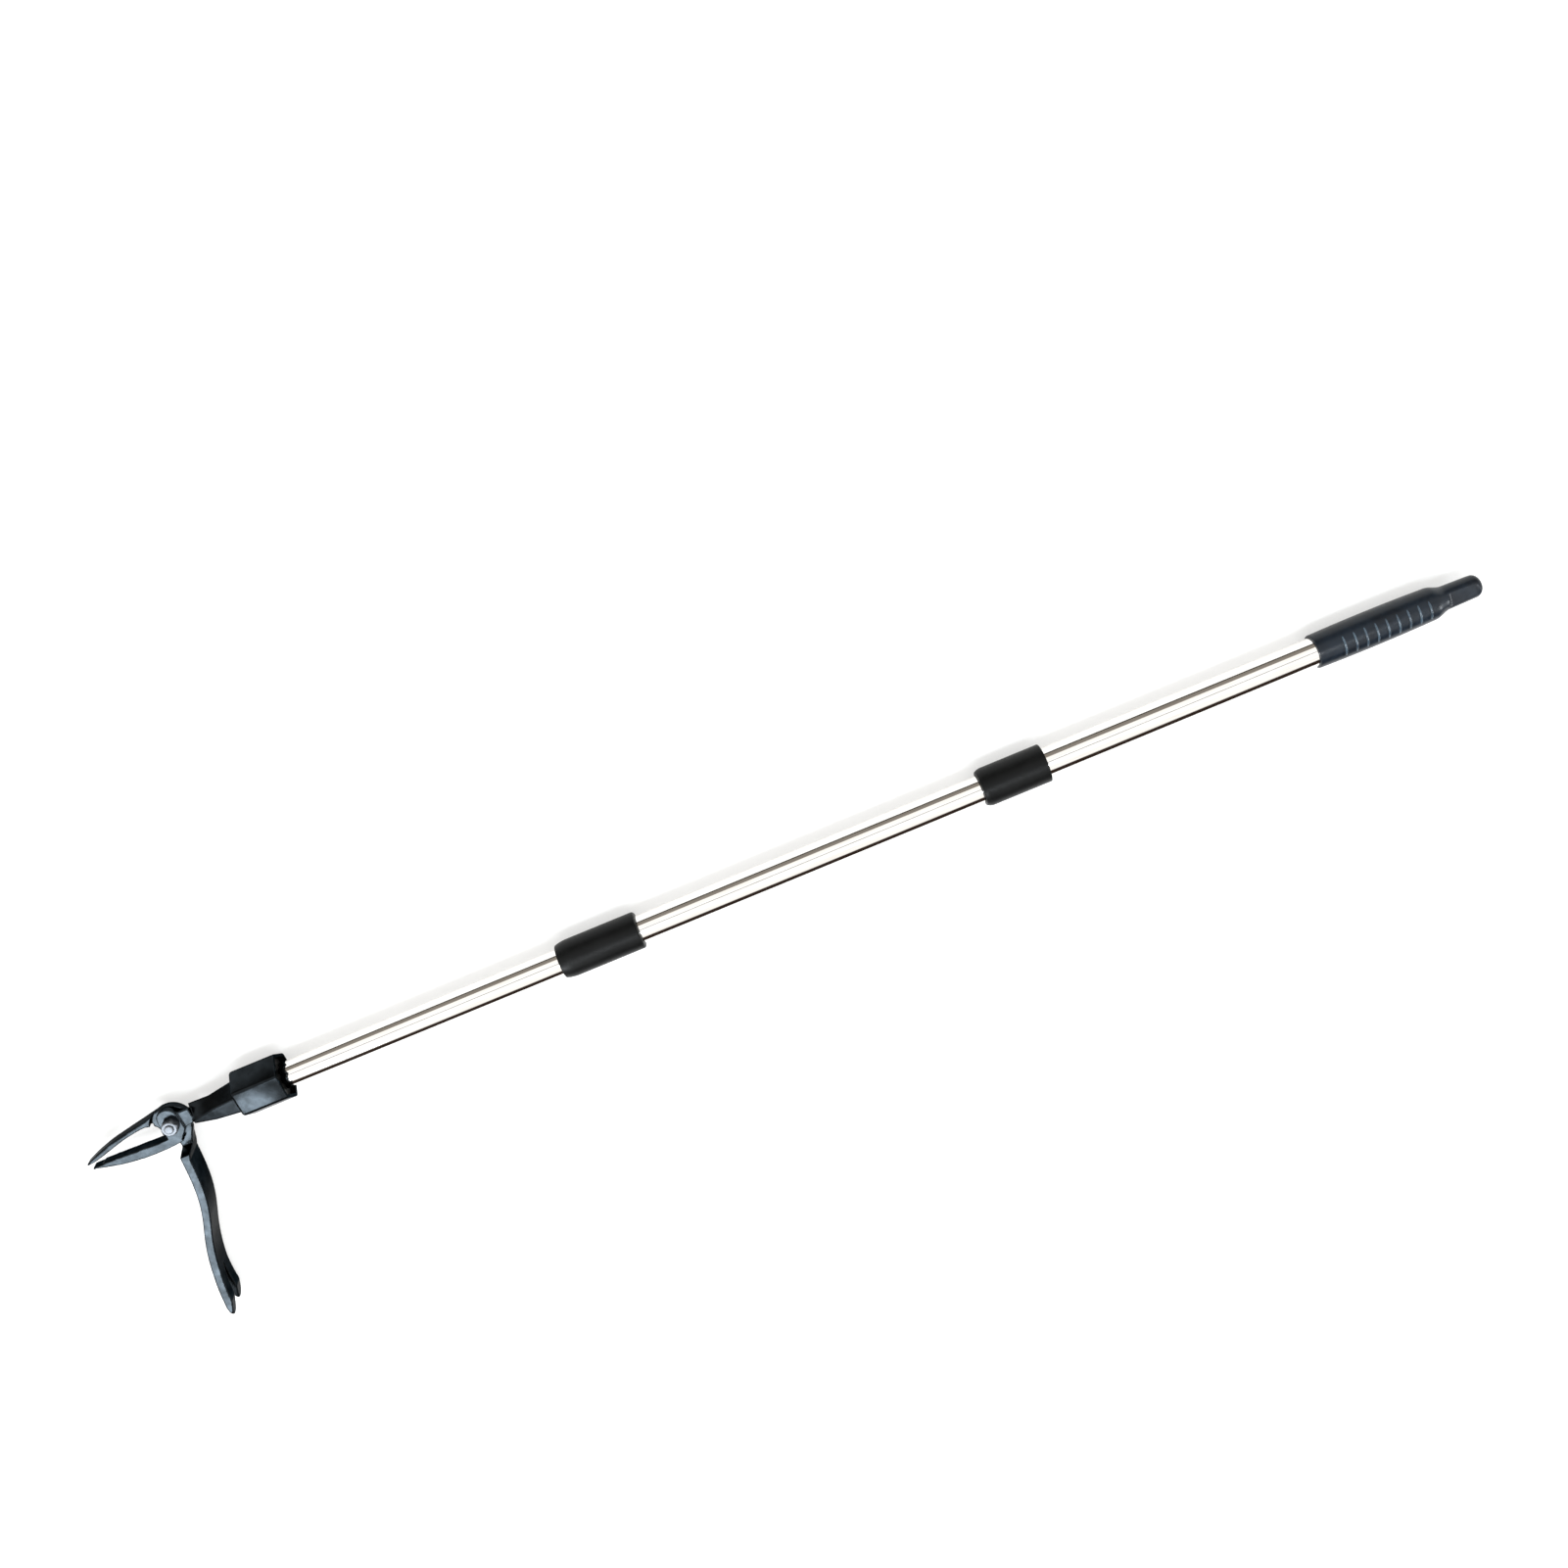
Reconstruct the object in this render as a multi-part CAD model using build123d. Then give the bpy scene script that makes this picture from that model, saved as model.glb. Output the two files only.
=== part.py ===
"""Stand-up weed puller: plier jaws worked by a forked foot lever, on a three-section telescopic pole.

The tool lies on its side. +X runs along the pole to the grip, +Z runs up along the jaw pivot, and the
foot lever points to -Y. The origin is the middle of the hexagonal socket's lower flat, which rests on
the ground. All sizes are in millimetres.
"""

from build123d import *

import math
import os

# ---------------------------------------------------------------------------------------------------
# Driving dimensions
# ---------------------------------------------------------------------------------------------------
# Hexagonal socket, with two corners up and down in Y and two flats up and down in Z
SOCKET_FLATS = 40.0
SOCKET_LENGTH = 42.0
SOCKET_WALL = 3.0
SOCKET_FLOOR = 4.0
SOCKET_TO_PIVOT = 64.0

# Pole: three tubes, the lower one innermost
LOWER_TUBE_D = 24.2
TUBE_WALL = 0.5
TUBE_GAP = 0.1
LOWER_TUBE_SHOWN = 259.0
MIDDLE_TUBE_SHOWN = 320.0
UPPER_TUBE_SHOWN = 252.0
TUBE_OVERLAP = 60.0
UPPER_TUBE_IN_GRIP = 103.0

# Collars on the open ends of the two outer tubes: a bush on the tube and a sleeve over it
COLLAR_WALL = 2.4
COLLAR_BUSH_T = 1.6
LOWER_COLLAR_LENGTH = 74.0
UPPER_COLLAR_LENGTH = 60.0
LOWER_COLLAR_TAPER = 11.0
UPPER_COLLAR_TAPER = 6.5
COLLAR_NOSE_DROP = 1.6
COLLAR_NOSE_ROUNDING = 0.8
LOWER_COLLAR_END_ROUNDING = 2.2
UPPER_COLLAR_END_ROUNDING = 0.6
COLLAR_LIP = 3.0
WIPER_LENGTH = 3.0
LIP_CLEARANCE = 0.35
WIPER_CLEARANCE = 0.05

# Twist locks on the inner ends of the lower and middle tubes
LOCK_PLUG_LENGTH = 22.0
LOCK_FLANGE_LENGTH = 3.0
LOCK_FLANGE_CLEARANCE = 0.4
LOCK_RING_LENGTH = 14.0
LOCK_RING_CLEARANCE = 0.08
LOCK_SIDE_CLEARANCE = 0.3
LOCK_JOURNAL_R = 6.5
LOCK_OFFSET = 1.2
LOCK_JOURNAL_CLEARANCE = 1.1
LOCK_SPLIT = 3.0
LOCK_WASHER_MARGIN = 2.0
LOCK_WASHER_T = 1.5
LOCK_SCREW_R = 2.5
LOCK_SCREW_LENGTH = 24.0
LOCK_SCREW_HEAD_R = 4.75
LOCK_SCREW_HEAD_H = 3.3

# Grip
GRIP_END_WALL = 1.9
GRIP_BELLY_WALL = 2.5
GRIP_SHOULDER_WALL = 1.5
GRIP_TAIL_R = 10.2
GRIP_TAIL_FLARE = 0.6
GRIP_TAIL_FLATS = 17.4
GRIP_BODY_LENGTH = 109.0
GRIP_SHOULDER_LENGTH = 15.0
GRIP_TAIL_LENGTH = 32.0
GRIP_TAIL_ROUNDING = 6.5
GRIP_END_ROUNDING = 1.0
GRIP_END_MARGIN = 1.0
RIB_COUNT = 9
RIB_PITCH = 10.0
RIB_FIRST = 23.0
RIB_R = 1.1
RIB_STAND = 1.0
RIB_SWEEP_OFFSET = 4.0
RIB_ARC = 100.0
GRIP_PLUG_LENGTH = 16.0
GRIP_PLUG_WALL = 2.0

# Adapter between the socket and the lower tube, and its cross screw
ADAPTER_RECESS = 5.0
TUBE_PLUG_LENGTH = 26.0
TUBE_PLUG_WALL = 3.0
CROSS_SCREW_R = 2.0
CROSS_SCREW_HEAD_R = 3.8
CROSS_SCREW_HEAD_H = 2.0
CROSS_SCREW_POINT = 4.0

# Plier joint: one cheek on each side of the lap
CHEEK_T = 6.0
LAP_GAP = 0.2
HUB_R = 16.5
HUB_CLEARANCE = 2.0
CHEEK_HALF_WIDTH = 9.0
CHEEK_TOP = 16.0
ARM_ROOT_T = 4.6
ARM_ROOT_INTO_NECK = 1.0
ARM_WAIST_SHARE = 0.56
PIVOT_R = 4.0
PIVOT_CLEARANCE = 0.05
NUT_FLATS = 13.0
NUT_H = 6.5
NUT_CHAMFER = 0.4
BOLT_HEAD_H = 5.3
BOLT_PROUD = 1.6
BOLT_CHAMFER = 0.8
WASHER_R = 8.0
WASHER_T = 1.6

# Jaws, measured from the pivot
JAW_REACH = 82.0
JAW_TIP_HALF_T = 4.4
JAW_TIP_R = 1.4
JAW_GAP_R = 7.4
JAW_GAP_END = 13.2
JAW_GAP_ROOF = 7.0
CLAMP_DROP = 10.5
LOWER_JAW_SHORTER = 3.0
CLAMP_STEP_LENGTH = 10.0
CLAMP_STEP = 0.8
CLAMP_SLOPE = 1.0
CLAMP_ROOT_RUN = 2.0
HEEL_DROP = 2.0
CHEEK_FOOT = 2.0
UPPER_TIP_RISE = -0.315
# Bowed back of the lower jaw: share of the reach, and drop below the clamping face
LOWER_JAW_BACK = ((0.683, 7.1), (0.317, 10.0))
# Back and face of the upper jaw: share of the reach, and rise as a share of the hub's radius
UPPER_JAW_BACK = ((0.854, 0.0), (0.659, 0.31), (0.439, 0.545), (0.195, 0.80))
UPPER_JAW_FACE = ((0.829, -0.255), (0.646, 0.03), (0.451, 0.285))

# Arm sections: the neck as shares of the hub's radius and the cheek, the rest of the socket's half flats
NECK_CORNERS = ((0.58, -0.5), (-0.34, 1.0), (-0.46, 0.9), (-0.52, -0.33), (-0.39, -1.0), (0.44, -1.0))
WAIST_CORNERS = ((0.52, 0.0), (0.03, 0.49), (-0.51, 0.46), (-0.59, 0.0), (-0.46, -0.47), (0.22, -0.47))
FOOT_CORNERS = ((0.75, 0.0), (0.25, 0.7), (-0.52, 0.7), (-0.81, 0.0), (-0.56, -0.7), (0.25, -0.7))
ROOT_EDGES = (-0.36, 0.5)

# Foot lever, measured from the pivot
LEVER_REACH = 196.0
LEVER_WIDTH = 27.0
LEVER_T = 7.6
LEVER_SHOULDER = 26.0
SHOULDER_DROP = 3.0
LEVER_NECK_SWEEP = 0.008
LEVER_TIP_SWEEP = 0.217
# Middle of the swept strap: shares of the reach, towards the jaws and away from the pivot
LEVER_BEND = ((0.022, 0.25), (0.042, 0.36), (0.079, 0.475), (0.122, 0.575), (0.163, 0.69), (0.192, 0.81),
              (0.206, 0.92))
FORK_DEPTH = 46.0
FORK_MOUTH = 11.0
FORK_THROAT = 2.4
FORK_FLARE = 4.0

# Neck of the lever over the hub: corners as shares of the hub's radius, and how far its foot stands out
NECK_FRONT_START = -0.14
NECK_FRONT_CORNER = (-0.33, -0.85)
NECK_BACK_CORNERS = ((0.6, 0.0), (0.75, -0.75), (0.5, -1.15))
NECK_FOOT_MARGIN = 1.0
NECK_FOOT_TUCK = 2.0

# Room for the neck beside the lower jaw: a swing a little wider than the jaws' travel
NECK_SWING = 27.0
NECK_SIDE_CLEARANCE = 1.0
HUB_MARGIN = 1.0

# ---------------------------------------------------------------------------------------------------
# Sizes worked out from them
# ---------------------------------------------------------------------------------------------------
AXIS_Z = SOCKET_FLATS / 2
PIVOT_X = -SOCKET_LENGTH / 2 - SOCKET_TO_PIVOT
NECK_X = HUB_R + HUB_CLEARANCE
NECK_FOOT = LEVER_SHOULDER + LEVER_T
TUBE_STEP = 2 * (TUBE_WALL + TUBE_GAP)
LOWER_R = LOWER_TUBE_D / 2
MIDDLE_R = LOWER_R + TUBE_STEP / 2
UPPER_R = MIDDLE_R + TUBE_STEP / 2

SOCKET_END = SOCKET_LENGTH / 2
LOWER_COLLAR_X = SOCKET_END + LOWER_TUBE_SHOWN
UPPER_COLLAR_X = LOWER_COLLAR_X + LOWER_COLLAR_LENGTH + MIDDLE_TUBE_SHOWN
GRIP_X = UPPER_COLLAR_X + UPPER_COLLAR_LENGTH + UPPER_TUBE_SHOWN
TUBE_SEAT = COLLAR_LIP + WIPER_LENGTH

LOWER_TUBE_START = -SOCKET_END + SOCKET_FLOOR
MIDDLE_TUBE_START = LOWER_COLLAR_X + TUBE_SEAT
UPPER_TUBE_START = UPPER_COLLAR_X + TUBE_SEAT
LOWER_TUBE_END = MIDDLE_TUBE_START + TUBE_OVERLAP
MIDDLE_TUBE_END = UPPER_TUBE_START + TUBE_OVERLAP
UPPER_TUBE_END = GRIP_X + UPPER_TUBE_IN_GRIP

GRIP_END_R = UPPER_R + GRIP_END_WALL
GRIP_BELLY_R = UPPER_R + GRIP_BELLY_WALL
GRIP_SHOULDER_R = UPPER_R + GRIP_SHOULDER_WALL


# ---------------------------------------------------------------------------------------------------
# Helpers
# ---------------------------------------------------------------------------------------------------
def rod(start, length, radius, y=0.0):
    """A round bar along the pole, its centre line y off the pole's axis."""
    section = Plane(origin=(start, y, AXIS_Z), x_dir=(0, 1, 0), z_dir=(1, 0, 0))
    return extrude(section * Circle(radius), length)


def pipe(start, length, outer, inner):
    """A round tube along the pole."""
    return rod(start, length, outer) - rod(start, length, inner)


def hex_bar(start, length, flats):
    """A hexagonal bar along the pole, with its flats up and down in Z."""
    section = Plane(origin=(start, 0, AXIS_Z), x_dir=(0, 1, 0), z_dir=(1, 0, 0))
    return extrude(section * RegularPolygon(flats / 2, 6, major_radius=False), length)


def at_pivot(dx, dy):
    """A point in the plan of the head, measured from the pivot."""
    return (PIVOT_X + dx, dy)


def swung(dx, dy):
    """A point measured from the pivot and swung about it to the end of the neck's swing."""
    turn = math.radians(NECK_SWING)
    return at_pivot(dx * math.cos(turn) + dy * math.sin(turn), dy * math.cos(turn) - dx * math.sin(turn))


def slab(edges, low, high):
    """A flat piece of the head with the given outline, from low to high over the lap plane."""
    return extrude(Plane.XY.offset(AXIS_Z + low) * make_face(edges), high - low)


def pivot_rod(radius, low, high):
    """A round bar on the pivot axis, from low to high over the lap plane."""
    return Pos(PIVOT_X, 0, AXIS_Z + low) * extrude(Circle(radius), high - low)


def pivot_hex(flats, low, high):
    """A hexagonal bar on the pivot axis, from low to high over the lap plane."""
    section = RegularPolygon(flats / 2, 6, major_radius=False)
    return Pos(PIVOT_X, 0, AXIS_Z + low) * extrude(section, high - low)


def turned(shape, degrees):
    """A shape turned about the pole's axis."""
    return shape.rotate(Axis((0, 0, AXIS_Z), (1, 0, 0)), degrees)


# ---------------------------------------------------------------------------------------------------
# Head
# ---------------------------------------------------------------------------------------------------
def jaw_taper():
    """The band that both jaws lie in: thick at the hub and thin at the tips."""
    tip, root = PIVOT_X - JAW_REACH - JAW_TIP_R, PIVOT_X - HUB_R
    upper = [(tip, JAW_TIP_HALF_T), (root, CHEEK_T), (PIVOT_X + HUB_R, CHEEK_T)]
    outline = upper + [(x, -z) for x, z in reversed(upper)]
    section = Plane(origin=(0, JAW_REACH, AXIS_Z), x_dir=(1, 0, 0), z_dir=(0, -1, 0))
    return extrude(section * make_face(Polyline(*outline, close=True)), 2 * JAW_REACH)


def along_jaw(share, rise):
    """A point at a share of the jaws' reach, rise being a share of the hub's radius."""
    return at_pivot(-share * JAW_REACH, rise * HUB_R)


def below_clamp(share, drop):
    """A point at a share of the jaws' reach and drop below the clamping face."""
    return at_pivot(-share * JAW_REACH, -CLAMP_DROP - drop)


def lower_jaw():
    """The jaw of the fixed half: a straight clamping face over a bowed back."""
    tip_share = 1 - LOWER_JAW_SHORTER / JAW_REACH
    step_share = tip_share - CLAMP_STEP_LENGTH / JAW_REACH
    clamp_tip = below_clamp(step_share, -CLAMP_SLOPE)
    clamp_root = at_pivot(-JAW_GAP_END - CLAMP_ROOT_RUN, -CLAMP_DROP - CLAMP_SLOPE)
    nose = below_clamp(tip_share, -CLAMP_SLOPE + CLAMP_STEP)
    chin = below_clamp(tip_share - JAW_TIP_R / JAW_REACH, JAW_TIP_R)
    heel = at_pivot(CHEEK_HALF_WIDTH / 4, -HUB_R - HEEL_DROP)
    root = at_pivot(0, -CLAMP_DROP - CLAMP_SLOPE)
    step = below_clamp(step_share, -CLAMP_SLOPE + CLAMP_STEP)
    lip = below_clamp(tip_share + JAW_TIP_R / 2 / JAW_REACH, JAW_TIP_R / 2)
    top = Polyline(root, clamp_root, clamp_tip, step, nose)
    back = Spline(chin, *[below_clamp(share, drop) for share, drop in LOWER_JAW_BACK], heel)
    edges = [top, ThreePointArc(nose, lip, chin), back, Line(heel, root)]
    return slab(edges, -CHEEK_T, CHEEK_T)


def upper_jaw():
    """The jaw of the moving half: a slim arch from the hub down to the tip."""
    tip_out = along_jaw(1, UPPER_TIP_RISE)
    tip_in = along_jaw(1 - JAW_TIP_R / JAW_REACH, UPPER_TIP_RISE - JAW_TIP_R / HUB_R)
    tip_mid = along_jaw(1, UPPER_TIP_RISE - JAW_TIP_R / HUB_R)
    out_end, in_end = at_pivot(0, HUB_R), at_pivot(-JAW_GAP_END - JAW_GAP_R, JAW_GAP_ROOF)
    outer = Spline(tip_out, *[along_jaw(share, rise) for share, rise in UPPER_JAW_BACK], out_end)
    inner = Spline(tip_in, *[along_jaw(share, rise) for share, rise in UPPER_JAW_FACE], in_end)
    nose = ThreePointArc(tip_out, tip_mid, tip_in)
    closing = Polyline(out_end, at_pivot(0, 0), in_end)
    return slab([outer, nose, inner, closing], -CHEEK_T, CHEEK_T)


def jaw_gap():
    """The rounded inner end of the space between the jaws, through both cheeks."""
    centre_y = JAW_GAP_R - CLAMP_DROP - CLAMP_SLOPE
    return Pos(-JAW_GAP_END - JAW_GAP_R, centre_y, 0) * pivot_rod(JAW_GAP_R, -CHEEK_T, CHEEK_T)


def neck_room():
    """The room beside the lower jaw that the lever's neck swings through."""
    corner_x, corner_y = NECK_FRONT_CORNER
    edges = Polyline(at_pivot(0, 0), swung(corner_x * HUB_R - NECK_SIDE_CLEARANCE, corner_y * HUB_R),
                     swung(-LEVER_T / 2 - NECK_FOOT_MARGIN - NECK_SIDE_CLEARANCE, -NECK_FOOT),
                     at_pivot(HUB_R, -NECK_FOOT), close=True)
    return slab(edges, -CHEEK_T, LAP_GAP / 2)


def arm_section(dx, corners, across, height):
    """One section of the arm, its corners as shares of a half width across and a half height."""
    section = Plane(origin=(PIVOT_X + dx, 0, AXIS_Z), x_dir=(0, 1, 0), z_dir=(1, 0, 0))
    points = [(y * across, z * height) for y, z in corners]
    return section * make_face(Polyline(*points, close=True))


def arm():
    """The arm from the hub to the socket: a flat neck that opens into the socket's six sides."""
    half = SOCKET_FLATS / 2
    waist_x = NECK_X + (SOCKET_TO_PIVOT - NECK_X) * (1 - ARM_WAIST_SHARE)
    sections = [
        arm_section(NECK_X, NECK_CORNERS, HUB_R, CHEEK_T),
        arm_section(waist_x, WAIST_CORNERS, half, half),
        arm_section(SOCKET_TO_PIVOT, FOOT_CORNERS, half, half),
    ]
    low, high = ROOT_EDGES
    foot_x = NECK_X + ARM_ROOT_INTO_NECK
    root = Polyline(at_pivot(0, CHEEK_HALF_WIDTH), at_pivot(NECK_X, high * HUB_R),
                    at_pivot(foot_x, high * HUB_R), at_pivot(foot_x, low * HUB_R),
                    at_pivot(NECK_X, low * HUB_R), at_pivot(0, -CHEEK_HALF_WIDTH), close=True)
    return loft(sections, ruled=True) + slab(root, LAP_GAP / 2, ARM_ROOT_T)


def jaw_arm():
    """The fixed half: front cheek, lower jaw and the arm that carries the socket."""
    crown_y = CHEEK_TOP - CHEEK_HALF_WIDTH
    side = CHEEK_HALF_WIDTH
    cheek_edges = Polyline(at_pivot(-side, crown_y), at_pivot(-side, -HUB_R + CHEEK_FOOT),
                           at_pivot(0, -HUB_R - CHEEK_FOOT), at_pivot(side, -HUB_R / 2),
                           at_pivot(side, crown_y), close=True)
    cheek = slab(cheek_edges, LAP_GAP / 2, CHEEK_T)
    crown = Pos(0, crown_y, 0) * pivot_rod(CHEEK_HALF_WIDTH, LAP_GAP / 2, CHEEK_T)
    jaw = (lower_jaw() & jaw_taper()) - pivot_rod(HUB_R + HUB_MARGIN, -CHEEK_T, LAP_GAP / 2) - neck_room()
    body = cheek + crown + jaw + arm()
    return body - pivot_rod(PIVOT_R, -CHEEK_T, CHEEK_T)


def lever_point(sweep, share):
    """A point at a share of the lever's reach, sweep being a share of it towards the jaws."""
    return at_pivot(-sweep * LEVER_REACH, -share * LEVER_REACH)


def lever_profile():
    """The foot lever seen along the pivot: straight at the neck, then swept towards the jaws."""
    half = LEVER_T / 2 / LEVER_REACH
    shoulder = LEVER_SHOULDER / LEVER_REACH
    middle = [(LEVER_NECK_SWEEP, shoulder)] + list(LEVER_BEND)
    front = Spline(*[lever_point(sweep + half, share) for sweep, share in middle])
    back = Spline(*[lever_point(sweep - half, share) for sweep, share in middle])
    point = lever_point(LEVER_TIP_SWEEP, 1)
    tip_share = (1 + LEVER_BEND[-1][1]) / 2
    front_tip = ThreePointArc(front @ 1, lever_point(LEVER_TIP_SWEEP + half / 2, tip_share), point)
    back_tip = ThreePointArc(back @ 1, lever_point(LEVER_TIP_SWEEP - 3 * half / 4, tip_share), point)
    strap = make_face([front, front_tip, back_tip, back, Line(front @ 0, back @ 0)])
    corner_x, corner_y = NECK_FRONT_CORNER
    root = Polyline(at_pivot(NECK_FRONT_START * HUB_R, 0),
                    *[at_pivot(x * HUB_R, y * HUB_R) for x, y in NECK_BACK_CORNERS],
                    at_pivot(LEVER_T / 2 + NECK_FOOT_MARGIN, -LEVER_SHOULDER),
                    at_pivot(LEVER_T / 2 - NECK_FOOT_TUCK, -NECK_FOOT),
                    at_pivot(-LEVER_T / 2 - NECK_FOOT_MARGIN, -NECK_FOOT),
                    at_pivot(corner_x * HUB_R, corner_y * HUB_R), close=True)
    return strap, make_face(root)


def lever_outline():
    """The foot lever seen along the pole: a strap that flares into a rounded two-tine fork."""
    half, flared = LEVER_WIDTH / 2, LEVER_WIDTH / 2 + FORK_FLARE
    mouth, throat, depth = FORK_MOUTH / 2, FORK_THROAT / 2, LEVER_REACH
    tine_r = (flared - mouth) / 2
    tine_z, inner_y = flared - tine_r, tine_r - depth
    throat_y = FORK_DEPTH - depth
    top, lap = -LEVER_SHOULDER, -LAP_GAP / 2
    near_foot, far_foot = top - SHOULDER_DROP, top - SHOULDER_DROP / 3
    edges = [
        Polyline((-half, far_foot), (-half, throat_y), (-flared, inner_y)),
        ThreePointArc((-flared, inner_y), (-tine_z, -depth), (-mouth, inner_y)),
        Line((-mouth, inner_y), (-throat, throat_y)),
        ThreePointArc((-throat, throat_y), (0, throat_y + throat), (throat, throat_y)),
        Line((throat, throat_y), (mouth, inner_y)),
        ThreePointArc((mouth, inner_y), (tine_z, -depth), (flared, inner_y)),
        Polyline((flared, inner_y), (half, throat_y), (half, near_foot), (lap, top), (lap, HUB_CLEARANCE),
                 (-CHEEK_T, HUB_CLEARANCE), (-CHEEK_T, top / 2), (-half, far_foot)),
    ]
    section = Plane(origin=(PIVOT_X + JAW_REACH, 0, AXIS_Z), x_dir=(0, 0, 1), z_dir=(-1, 0, 0))
    return extrude(section * make_face(edges), 2 * JAW_REACH)


def foot_lever():
    """The moving half: back cheek, upper jaw and the forked lever that the foot presses."""
    strap, neck = lever_profile()
    half = LEVER_WIDTH / 2 + FORK_FLARE
    base = Plane.XY.offset(AXIS_Z - half)
    blank = extrude(base * strap, 2 * half) + extrude(base * neck, 2 * half)
    lever = blank & lever_outline()
    hub = pivot_rod(HUB_R, -CHEEK_T, -LAP_GAP / 2)
    jaw = (upper_jaw() & jaw_taper()) - pivot_rod(HUB_R + HUB_MARGIN, -LAP_GAP / 2, CHEEK_T)
    body = hub + jaw + lever - jaw_gap()
    return body - pivot_rod(PIVOT_R + PIVOT_CLEARANCE, -CHEEK_T, CHEEK_T)


def pivot_fasteners():
    """The bolt from below, its washer, and the nut on the front cheek."""
    washer_low = -CHEEK_T - WASHER_T
    head = pivot_hex(NUT_FLATS, washer_low - BOLT_HEAD_H, washer_low)
    shank = pivot_rod(PIVOT_R, washer_low, CHEEK_T + NUT_H + BOLT_PROUD)
    bolt = chamfer((head + shank).edges().sort_by(Axis.Z)[-1], BOLT_CHAMFER)
    nut = pivot_hex(NUT_FLATS, CHEEK_T, CHEEK_T + NUT_H)
    cone = Cone(NUT_FLATS / 2 + NUT_H, NUT_FLATS / 2 - NUT_CHAMFER, NUT_H,
                align=(Align.CENTER, Align.CENTER, Align.MIN))
    crown = Pos(PIVOT_X, 0, AXIS_Z + CHEEK_T) * cone
    nut = (nut & crown) - pivot_rod(PIVOT_R, CHEEK_T, CHEEK_T + NUT_H)
    washer = pivot_rod(WASHER_R, washer_low, -CHEEK_T) - pivot_rod(PIVOT_R, washer_low, -CHEEK_T)
    return {"pivot_bolt": bolt, "pivot_nut": nut, "pivot_washer": washer}


# ---------------------------------------------------------------------------------------------------
# Socket
# ---------------------------------------------------------------------------------------------------
def cross_bar(radius, start, end):
    """A round bar across the pole, square to the socket's lower flat on the lever's side."""
    direction = Vector(0, -math.cos(math.radians(30)), -math.sin(math.radians(30)))
    origin = Vector(0, 0, AXIS_Z) + direction * start
    return extrude(Plane(origin=origin, z_dir=direction) * Circle(radius), end - start)


def socket_pieces():
    """The hexagonal socket, the adapter in it, the tube's end plug and the cross screw."""
    inner_flats = SOCKET_FLATS - 2 * SOCKET_WALL
    cavity = -SOCKET_END + SOCKET_FLOOR
    flat = SOCKET_FLATS / 2
    head_seat = flat - CROSS_SCREW_HEAD_H / 2
    tip = LOWER_R - TUBE_WALL - TUBE_PLUG_WALL - CROSS_SCREW_POINT
    screw = cross_bar(CROSS_SCREW_R, tip, head_seat)
    screw += cross_bar(CROSS_SCREW_HEAD_R, head_seat, head_seat + CROSS_SCREW_HEAD_H)
    plug_inner = LOWER_R - TUBE_WALL - TUBE_PLUG_WALL
    socket = hex_bar(-SOCKET_END, SOCKET_LENGTH, SOCKET_FLATS)
    socket -= hex_bar(cavity, SOCKET_LENGTH, inner_flats)
    adapter = hex_bar(cavity, SOCKET_END - ADAPTER_RECESS - cavity, inner_flats)
    adapter -= rod(cavity, SOCKET_LENGTH, LOWER_R)
    plug = pipe(LOWER_TUBE_START, TUBE_PLUG_LENGTH, LOWER_R - TUBE_WALL, plug_inner)
    return {
        "hex_socket": socket - screw,
        "pole_adapter": adapter - screw,
        "lower_tube_plug": plug - screw,
        "adapter_screw": screw,
    }


# ---------------------------------------------------------------------------------------------------
# Pole
# ---------------------------------------------------------------------------------------------------
def tubes():
    """The three telescopic tubes."""
    lower = pipe(LOWER_TUBE_START, LOWER_TUBE_END - LOWER_TUBE_START, LOWER_R, LOWER_R - TUBE_WALL)
    screw = cross_bar(CROSS_SCREW_R, LOWER_R - 2 * TUBE_WALL, SOCKET_FLATS / 2)
    middle = pipe(MIDDLE_TUBE_START, MIDDLE_TUBE_END - MIDDLE_TUBE_START, MIDDLE_R, MIDDLE_R - TUBE_WALL)
    upper = pipe(UPPER_TUBE_START, UPPER_TUBE_END - UPPER_TUBE_START, UPPER_R, UPPER_R - TUBE_WALL)
    return {"lower_tube": lower - screw, "middle_tube": middle, "upper_tube": upper}


def collar(name, start, length, inner_tube_r, outer_tube_r, taper, end_rounding):
    """A collar on the outer tube's open end: sleeve with a lip, bush under it, and wiper ring."""
    bore = outer_tube_r + COLLAR_BUSH_T
    radius = bore + COLLAR_WALL
    outline = Polyline((0, 0), (0, radius - COLLAR_NOSE_DROP), (taper, radius), (length, radius),
                       (length, 0), close=True)
    section = Plane(origin=(start, 0, AXIS_Z), x_dir=(1, 0, 0), z_dir=(0, -1, 0))
    sleeve = revolve(section * make_face(outline), Axis((start, 0, AXIS_Z), (1, 0, 0)))
    sleeve = fillet(sleeve.edges().group_by(Axis.X)[0], COLLAR_NOSE_ROUNDING)
    sleeve = fillet(sleeve.edges().group_by(Axis.X)[-1], end_rounding)
    sleeve -= rod(start, COLLAR_LIP, inner_tube_r + LIP_CLEARANCE)
    sleeve -= rod(start + COLLAR_LIP, length, bore)
    bush = pipe(start + TUBE_SEAT, length - TUBE_SEAT, bore, outer_tube_r)
    wiper = pipe(start + COLLAR_LIP, WIPER_LENGTH, bore, inner_tube_r + WIPER_CLEARANCE)
    return {name + "_collar": sleeve, name + "_collar_bush": bush, name + "_wiper_ring": wiper}


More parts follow.
